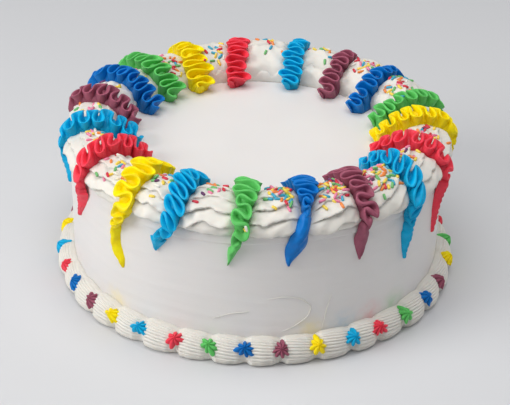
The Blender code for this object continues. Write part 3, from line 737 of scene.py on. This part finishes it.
def ribbon_route(ribbon):
    """The line under a ribbon: length, then radius, height, outward way and along."""
    along = np.linspace(0, 1, 97)
    radius, height, out_r, out_z = ribbon_line(along)
    radius = radius + out_r * WALL_GAP
    height = height + out_z * WALL_GAP
    start = (radius[-1], height[-1])
    wall = (WALL_RADIUS + WALL_GAP, CAKE_HEIGHT - TAIL_DROP)
    t = np.linspace(0, 1, 33)[1:]
    bend_a = (start[0], start[1] - 0.40 * TAIL_DROP)
    bend_b = (wall[0], wall[1] + 0.45 * TAIL_DROP)
    fall_r, fall_z = (
        a * (1 - t) ** 3 + b * 3 * t * (1 - t) ** 2 + c * 3 * t * t * (1 - t) + d * t ** 3
        for a, b, c, d in zip(start, bend_a, bend_b, wall))
    drop = wall[1] - ribbon.tip_height
    rest = np.linspace(0, 1, 25)[1:]
    fall_length = math.hypot(start[0] - wall[0], start[1] - wall[1])
    fall_share = fall_length / (fall_length + drop)
    along = np.concatenate((along, 1 + t * fall_share, 1 + fall_share + rest * (1 - fall_share)))
    radius = np.concatenate((radius, fall_r, wall[0] + 0 * rest))
    height = np.concatenate((height, fall_z, wall[1] - drop * rest))
    way_r = np.gradient(radius)
    way_z = np.gradient(height)
    size = np.hypot(way_r, way_z)
    length = np.append(0, np.cumsum(np.hypot(np.diff(radius), np.diff(height))))
    return length, (radius, height, -way_z / size, way_r / size, along)


def sheet_section(v):
    """Round a standing sheet: across its thickness from -1 to 1, its side and its rounded edge."""
    turn = np.clip((v - 0.4) / 0.2, 0, 1) * math.pi
    knots = (0.0, 0.04, 0.4, 0.6, 0.96, 1.0)
    flat = np.interp(v, knots, (0, -1, -1, 1, 1, 0))
    across = np.where((v > 0.4) & (v < 0.6), -np.cos(turn), flat)
    side = np.interp(v, knots, (0, 0, 1, 1, 0, 0))
    return across, side, np.sin(turn)


def tail_half_width(ribbon, share):
    """Half the width of the flat tail: a leaf, widest at its peak, that comes to a point."""
    before = 0.72 + 0.28 * eased(share, (0.0, 0.0), (max(ribbon.tail_peak, 0.01), 1.0))
    after = np.clip((share - ribbon.tail_peak) / (1 - ribbon.tail_peak), 0, 1)
    return np.maximum(0.5 * ribbon.tail_width * before * (1 - after ** 1.5), 0.35 * MM)


def make_ribbon(number, ribbon, material):
    """A sheet of icing on its edge that folds from side to side, then runs out in a tail."""
    length, route = ribbon_route(ribbon)
    total = length[-1]
    end = ribbon.ruffle_end
    seed = number * 1.31
    pitch = total * end / ribbon.folds
    facing = math.cos(math.radians(ribbon.crest))
    shear = 0.25 * facing - 0.10
    inner_rise = 0.58 - 0.22 * facing

    def half_width(u):
        """How far the folds swing to each side."""
        swing = eased(u, (0.0, 0.50), (0.06, 1.08), (0.3, 1.0), (end - 0.22, 0.80), (end, 0.0))
        return swing * ribbon.width * RIBBON_HALF_WIDTH

    def full_rise(u):
        along = np.interp(u * total, length, route[-1])
        rise = RIBBON_HEIGHT * eased(along, (0.0, inner_rise), (0.42, 1.0), (0.6, 1.0),
                                     (1.0, ribbon.outer_rise), (2.0, 0.42))
        return rise * (1 + 0.07 * wander(u * 60, seed, 0.7, 1.9))

    def fold(u, lift):
        """Sideways place, length along and sway at u, with lift 0 at the foot and 1 at the edge."""
        phase = TAU * ribbon.folds * u / end + 0.6 * wander(u * 40, seed, 0.5, 0.9)
        sway = np.sin(phase)
        swing = half_width(u) * (1 + 0.20 * wander(phase, seed, 0.5, 0.23)) * (0.45 + 0.55 * lift)
        side = swing * sway
        fading = eased(u, (end - 0.10, 1.0), (end, 0.0))
        slack = -(0.04 + 0.15 * lift) * pitch * np.sin(2 * phase) * fading
        slack = slack + shear * lift * RIBBON_HEIGHT * fading
        lean = 0.9 * MM * wander(u * 30, seed + 2, 0.6, 1.3) * lift
        reach = ribbon.start + u * (total - ribbon.start) + slack + ribbon.slant * side
        return side + lean, reach, sway * fading

    def laid(reach, side, up, hold):
        """Points beside and above the ribbon's line; hold 1 keeps the foot on the icing below."""
        base_r, base_z, n_r, n_z, along = (np.interp(reach, length, column) for column in route)
        r = base_r + n_r * up
        hover = np.where(along < 0.5, np.clip(base_z - ground_height(base_r), 0, None), 0.0)
        angle = ribbon_angle(ribbon, along) + np.degrees(side / r)
        return around(angle, r, base_z + n_z * up - hover * hold)

    def shape(u, v):
        across, side_share, edge = sheet_section(v)
        tail = eased(u, (end - 0.12, 0.0), (end, 1.0))
        tail_share = np.clip((u - end) / (1 - end), 0, 1)
        leaf = tail_half_width(ribbon, tail_share)
        foot_half = SHEET_FOOT_HALF + (leaf - SHEET_FOOT_HALF) * tail
        edge_half = SHEET_EDGE_HALF + (0.30 * leaf - SHEET_EDGE_HALF) * tail
        rise = full_rise(u)
        tail_rise = ribbon.tail_rise + (TAIL_TIP_RISE - ribbon.tail_rise) * tail_share
        rise = rise + (tail_rise - rise) * tail
        round_share = np.clip(edge_half / rise, 0.02, 0.45)
        lift = side_share * (1 - round_share) + edge * round_share
        close = np.sqrt(np.clip(np.minimum(u, 1 - u) * total / END_ROUND, 0, 1))
        step = 0.002
        side, reach, sway = fold(u, lift)
        side_a, reach_a, _ = fold(u - step, lift)
        side_b, reach_b, _ = fold(u + step, lift)
        size = np.hypot(side_b - side_a, reach_b - reach_a)
        thick = across * (foot_half + (edge_half - foot_half) * lift) * close
        side = side + thick * (reach_b - reach_a) / size
        reach = np.clip(reach - thick * (side_b - side_a) / size, 0, total)
        pleat = np.sin(TAU * (reach / PLEAT_SPACING + 0.95 * across))
        up = lift * rise * (1 - FOLD_DROOP * lift * sway * sway) * (0.25 + 0.75 * close)
        up = up + PLEAT_DEPTH * pleat * tail * lift * close - SHEET_SINK * (1 - lift) ** 4
        # Painted light: shade painted low on the sheet and between the folds, none at the top edge
        # or on the tail
        open_way = np.clip(0.10 + 1.05 * lift + 0.25 * sway * sway, 0, 1)
        return np.column_stack((laid(reach, side, up, (1 - lift) ** 2), np.maximum(open_way, tail)))

    def core_shape(u, v):
        """The gathered middle of the folds: a low rounded rope that fills the gaps between them."""
        turn = math.pi * (np.clip(v / CORE_TOP_SHARE, 0, 1) - 0.5)
        under = np.clip((v - CORE_TOP_SHARE) / (1 - CORE_TOP_SHARE), 0, 1)
        here = u * end
        ends = np.sqrt(np.clip(np.minimum(u / 0.05, (1 - u) / 0.20), 0, 1))
        knobs = 1 + 0.10 * np.sin(TAU * ribbon.folds * u * 2 + 2 * np.sin(turn)) * np.cos(turn)
        half = CORE_WIDTH * half_width(here * 0.92) * knobs * ends
        side = half * np.sin(turn) * (1 - 2 * under)
        up = CORE_RISE * full_rise(here) * np.cos(turn) * knobs * ends - SHEET_SINK
        reach = ribbon.start + here * (total - ribbon.start) + ribbon.slant * side
        # Painted shade over the whole rope: it takes a low painted light of 0.30
        return np.column_stack((laid(reach, side, up, 1 - np.cos(turn) * 0.8), 0.30 + 0 * u))

    bm = shaped_grid(FOLD_SEGMENTS * ribbon.folds + TAIL_SEGMENTS, SECTION_SEGMENTS, shape)
    core = shaped_grid(CORE_FOLD_SEGMENTS * ribbon.folds, CORE_SECTION_SEGMENTS, core_shape)
    join_shape(bm, core)
    tree = BVHTree.FromBMesh(bm)
    name = f"ribbon_{number:02d}_{ribbon.colour}"
    add_piece(f"ruffle_{number:02d}", bm, material, f"{ribbon.colour}_icing", name)
    return tree


# Sprinkles

def add_rod(bm, place, normal, turn, tilt, length):
    """One sprinkle: a ball drawn out to a rod with round ends, lying on the icing."""
    rod = bmesh.ops.create_uvsphere(bm, u_segments=8, v_segments=6, radius=SPRINKLE_RADIUS)["verts"]
    for vert in rod:
        if abs(vert.co.z) > 0.05 * SPRINKLE_RADIUS:
            vert.co.z += math.copysign(length / 2 - SPRINKLE_RADIUS, vert.co.z)
    side = normal.orthogonal().normalized()
    lie = Matrix.Rotation(turn, 3, normal) @ side + normal * tilt
    stand = lie.normalized().to_track_quat("Z", "Y").to_matrix().to_4x4()
    centre = place + normal * (0.35 * SPRINKLE_RADIUS)
    bmesh.ops.transform(bm, matrix=Matrix.Translation(centre) @ stand, verts=rod)


def line_place(along):
    """Radius, height and outward way at one point of the ribbons' line."""
    return [float(value) for value in ribbon_line(along)]


def stray_place(along):
    """Radius, height and outward way over the border, and down the wall past its edge at 1."""
    radius, height, out_r, out_z = line_place(min(along, 1.0))
    if along > 1:
        return WALL_RADIUS, height - (along - 1) * 40 * MM, 1.0, 0.0
    return radius, height, out_r, out_z


def ray_towards(angle, radius, height, out_r, out_z):
    """A point well above a place on the icing, and the way out from that place."""
    base = Vector(around(angle, radius, height))
    out = Vector(around(angle, radius + out_r, height + out_z)) - base
    return base + out * RAY_START, out


def scatter_sprinkles(surface, others):
    """Drops sprinkles of each colour in small heaps on the swirls, and a few elsewhere."""
    draw = random.Random(5)
    kinds = list(SPRINKLE_SHARES)
    weights = list(SPRINKLE_SHARES.values())
    heaps = {kind: bmesh.new() for kind in kinds}
    taken = []
    for index, swirl in enumerate(SWIRLS):
        placed = 0
        tries = 0
        while placed < swirl.sprinkles and tries < 60 * swirl.sprinkles:
            tries += 1
            along = min(HEAP_LAST, max(HEAP_FIRST, draw.gauss(swirl.focus, HEAP_SPREAD_OVER)))
            radius, height, out_r, out_z = line_place(along)
            clear = math.degrees((SPRINKLE_RIBBON_CLEAR + 0.4 * SPRINKLE_LENGTH) / radius)
            start = float(ribbon_angle(RIBBONS[index], along)) + clear
            end = float(ribbon_angle(next_ribbon(index), along)) - clear
            share = min(1.0, max(0.0, draw.gauss(swirl.side, HEAP_SPREAD_ACROSS)))
            turn = draw.uniform(0, math.pi)
            tilt = draw.uniform(-0.15, 0.35)
            length = SPRINKLE_LENGTH * draw.uniform(0.80, 1.15)
            if end <= start:
                continue
            angle = start + (end - start) * share
            above, out = ray_towards(angle, radius, height, out_r, out_z)
            place, normal, _, _ = surface.ray_cast(above, -out)
            if place is None or any((place - other).length < SPRINKLE_SPACING for other in taken):
                continue
            taken.append(place)
            kind = draw.choices(kinds, weights)[0]
            add_rod(heaps[kind], place, normal, turn, tilt, length)
            placed += 1
    for kind, angle, along, turn in STRAYS:
        radius, height, out_r, out_z = stray_place(along)
        above, out = ray_towards(angle, radius, height, out_r, out_z)
        hits = [tree.ray_cast(above, -out) for tree in others]
        place, normal, _, _ = min((hit for hit in hits if hit[0]), key=lambda hit: hit[3])
        add_rod(heaps[kind], place, normal, turn, 0.1, SPRINKLE_LENGTH)
    for kind, bm in heaps.items():
        slot = f"{kind}_icing" if kind in ICING_COLOURS else "border_icing"
        add_piece(f"sprinkles_{kind}", bm, sprinkle_finish(kind), slot)


# Shell border

def star_list():
    """Angle and colour of each star: the ones at the front and sides, then the rest evenly."""
    stars = list(zip(SEEN_STAR_ANGLES, SEEN_STAR_COLOURS))
    last = SEEN_STAR_ANGLES[-1]
    spacing = (SEEN_STAR_ANGLES[0] + 360 - last) / (HIDDEN_STARS + 1)
    for index in range(HIDDEN_STARS):
        colour = HIDDEN_STAR_COLOURS[index % len(HIDDEN_STAR_COLOURS)]
        stars.append((last + spacing * (index + 1), colour))
    return stars


def make_shell_border(material):
    """A ring of shells: each swells to a ribbed head and thins to a tail under the next."""
    angles = np.array([angle for angle, _ in star_list()] + [SEEN_STAR_ANGLES[0] + 360])
    count = len(angles) - 1
    pivot = 0.30 * SHELL_HEIGHT
    foot = math.cos(SHELL_TUCK) ** SHELL_FULLNESS

    def shape(u, v):
        position = np.mod(u, 1.0) * count
        index = np.minimum(np.floor(position + 1e-6), count - 1).astype(int)
        along = np.clip(position - index, 0, 1)
        angle = angles[index] + (angles[index + 1] - angles[index]) * along
        seed = index * 2.3
        swell = eased(along, (0.0, 0.66), (0.20, 0.96), (0.45, 1.0), (0.70, 0.94), (1.0, 0.70))
        swell = swell * (1 + 0.035 * np.sin(seed))
        outside = v / SHELL_TOP_SHARE
        turn = -SHELL_TUCK + (math.pi / 2 + SHELL_TUCK) * np.clip(outside, 0, 1)
        bend = SHELL_RIB_SLOPE * along + 0.9 * (1 - along) ** 3 + 0.2 * np.sin(3 * along + seed)
        fan = (SHELL_RIBS + bend) * outside + 0.25 * np.sin(seed * 1.3)
        rib = np.abs(np.sin(math.pi * fan)) ** 0.7 - 0.6
        crest = eased(along, (0.0, 0.25), (0.2, 1.0), (0.75, 0.85), (1.0, 0.3))
        crest = crest * np.clip(3 * np.cos(turn), 0, 1)
        size = 1 + rib * crest * SHELL_RIB_DEPTH / (0.5 * SHELL_DEPTH)
        out = SHELL_DEPTH * swell * size * np.abs(np.cos(turn)) ** SHELL_FULLNESS
        down_side = np.sin(turn) / math.sin(SHELL_TUCK) * pivot
        top = (SHELL_HEIGHT - pivot) * (0.5 + 0.5 * swell)
        up_side = np.abs(np.sin(turn)) ** 0.85 * top * size
        height = np.maximum(pivot + np.where(turn < 0, down_side, up_side), 0.0)
        close = np.clip((v - SHELL_TOP_SHARE) / (1 - SHELL_TOP_SHARE), 0, 1)
        down = np.clip(close * 2, 0, 1)
        back = np.clip(close * 2 - 1, 0, 1)
        height = np.where(close > 0, height * (1 - down), height)
        out = np.where(close > 0, SHELL_DEPTH * swell * foot * back, out)
        place = around(angle, WALL_RADIUS - SINK + (1 + SINK / SHELL_DEPTH) * out, height)
        # Painted shade in the grooves between the ribs of each shell's head
        return np.column_stack((place, 1 - 0.5 * crest * np.clip(-2 * rib, 0, 1)))

    bm = shaped_grid(SHELL_COLUMNS * count, SHELL_ROWS, shape)
    surface = BVHTree.FromBMesh(bm)
    add_piece("shell_border", bm, material, "border_icing", "bottom_border")
    return surface


def make_star(number, angle, colour, material, surface):
    """A small star, wrapped over the shells: lobes and sharp grooves that rise to a bent peak."""
    draw = random.Random(70 + number)
    lobes = draw.choice((7, 8, 9))
    seed = draw.uniform(0, 6)
    stretch = draw.uniform(0.98, 1.16)

    def shape(u, v):
        turn = TAU * u
        stops = (0.0, 0.12, 0.30, 0.62, 0.85, 1.0)
        rim = np.interp(v, stops, (0.0, 0.82, 1.0, 0.70, 0.30, 0.0))
        rise = np.interp(v, stops, (-0.35, 0.0, 0.22, 0.66, 0.88, 1.0))
        wave = np.abs(np.cos(lobes * 0.5 * (turn + 0.30 * rise)))
        uneven = 1 + 0.15 * np.sin(turn * 2 + seed) + 0.12 * np.sin(turn * 3 + 2 * seed)
        depth = eased(v, (0.0, 0.26), (0.30, 0.46), (0.85, 0.50), (1.0, 0.3))
        out = STAR_RADIUS * rim * uneven * (1 - depth + depth * wave ** 0.75)
        bend = STAR_PEAK_BEND * rise * rise
        side = out * np.cos(turn) * 1.2 + bend * math.cos(seed)
        ahead = out * np.sin(turn) * stretch + bend * math.sin(seed)
        lift = STAR_HEIGHT * rise * (0.82 + 0.18 * wave) - ahead * ahead / (2 * STAR_WRAP)
        # Painted shade in the grooves between the star's lobes
        return np.stack((side, ahead, lift, 0.25 + 0.75 * wave), axis=-1)

    bm = shaped_grid(lobes * 9, 16, shape)
    tilt = math.radians(STAR_TILT)
    out = Vector(around(angle, math.cos(tilt), math.sin(tilt)))
    middle = Vector(around(angle, STAR_RING_RADIUS, STAR_RING_HEIGHT))
    place, _, _, _ = surface.ray_cast(middle + out * RAY_START, -out)
    stand = out.to_track_quat("Z", "Y").to_matrix().to_4x4()
    spin = Matrix.Rotation(draw.uniform(-0.3, 0.3), 4, "Z")
    seat = Matrix.Translation(place + out * STAR_SEAT)
    bmesh.ops.transform(bm, matrix=seat @ stand @ spin, verts=bm.verts)
    name = f"star_{number:02d}_{colour}"
    add_piece(f"piped_star_{number:02d}", bm, material, f"{colour}_icing", name)


# Stage, light and camera

def make_floor():
    bm = bmesh.new()
    bmesh.ops.create_grid(bm, x_segments=1, y_segments=1, size=FLOOR_HALF)
    mesh = bpy.data.meshes.new("floor")
    bm.to_mesh(mesh)
    bm.free()
    finish = Finish("pale_floor", FLOOR_COLOUR, 0.75)
    mesh.materials.append(finish.close())
    floor = bpy.data.objects.new("floor", mesh)
    bpy.context.scene.collection.objects.link(floor)


def add_light(name, place, aim, size, power, colour):
    data = bpy.data.lights.new(name, "AREA")
    data.shape = "DISK"
    data.size = size
    data.energy = power
    data.color = colour
    lamp = bpy.data.objects.new(name, data)
    lamp.location = place
    lamp.rotation_mode = "QUATERNION"
    lamp.rotation_quaternion = (Vector(aim) - Vector(place)).to_track_quat("-Z", "Y")
    bpy.context.scene.collection.objects.link(lamp)


def light_scene():
    for lamp in LAMPS:
        add_light(*lamp)
    world = bpy.data.worlds.new("soft_room")
    world.use_nodes = True
    background = world.node_tree.nodes["Background"]
    background.inputs["Color"].default_value = ROOM_COLOUR
    background.inputs["Strength"].default_value = ROOM_STRENGTH
    bpy.context.scene.world = world
    bpy.context.scene.view_settings.view_transform = "Standard"


def add_camera():
    """The photograph's own view: from the front, above, with a slight roll."""
    rise = math.radians(CAMERA_ELEVATION)
    roll = math.radians(CAMERA_ROLL)
    back = Vector((0, -math.cos(rise), math.sin(rise)))
    up = Vector((0, math.sin(rise), math.cos(rise)))
    right = Vector((1, 0, 0))
    side = math.cos(roll) * right + math.sin(roll) * up
    top = math.cos(roll) * up - math.sin(roll) * right
    data = bpy.data.cameras.new("photo_camera")
    data.sensor_width = SENSOR_WIDTH
    data.lens = CAMERA_FOCAL_PIXELS / FRAME_WIDTH * SENSOR_WIDTH
    camera = bpy.data.objects.new("photo_camera", data)
    turned = Matrix((side, top, back)).transposed().to_4x4()
    turned.translation = CAMERA_TARGET + back * CAMERA_DISTANCE
    camera.matrix_world = turned
    bpy.context.scene.collection.objects.link(camera)
    bpy.context.scene.camera = camera


piped_white = piped_white_finish()
coloured = {name: coloured_finish(name) for name in ICING_COLOURS}
wall = make_iced_cake(wall_finish())
make_threads(piped_white)
swirls = make_swirl_border(piped_white)
ruffles = [make_ribbon(number, ribbon, coloured[ribbon.colour])
           for number, ribbon in enumerate(RIBBONS, 1)]
scatter_sprinkles(swirls, ruffles + [swirls, wall])
shells = make_shell_border(piped_white)
for number, (angle, colour) in enumerate(star_list(), 1):
    make_star(number, angle, colour, coloured[colour], shells)
make_floor()
light_scene()
add_camera()
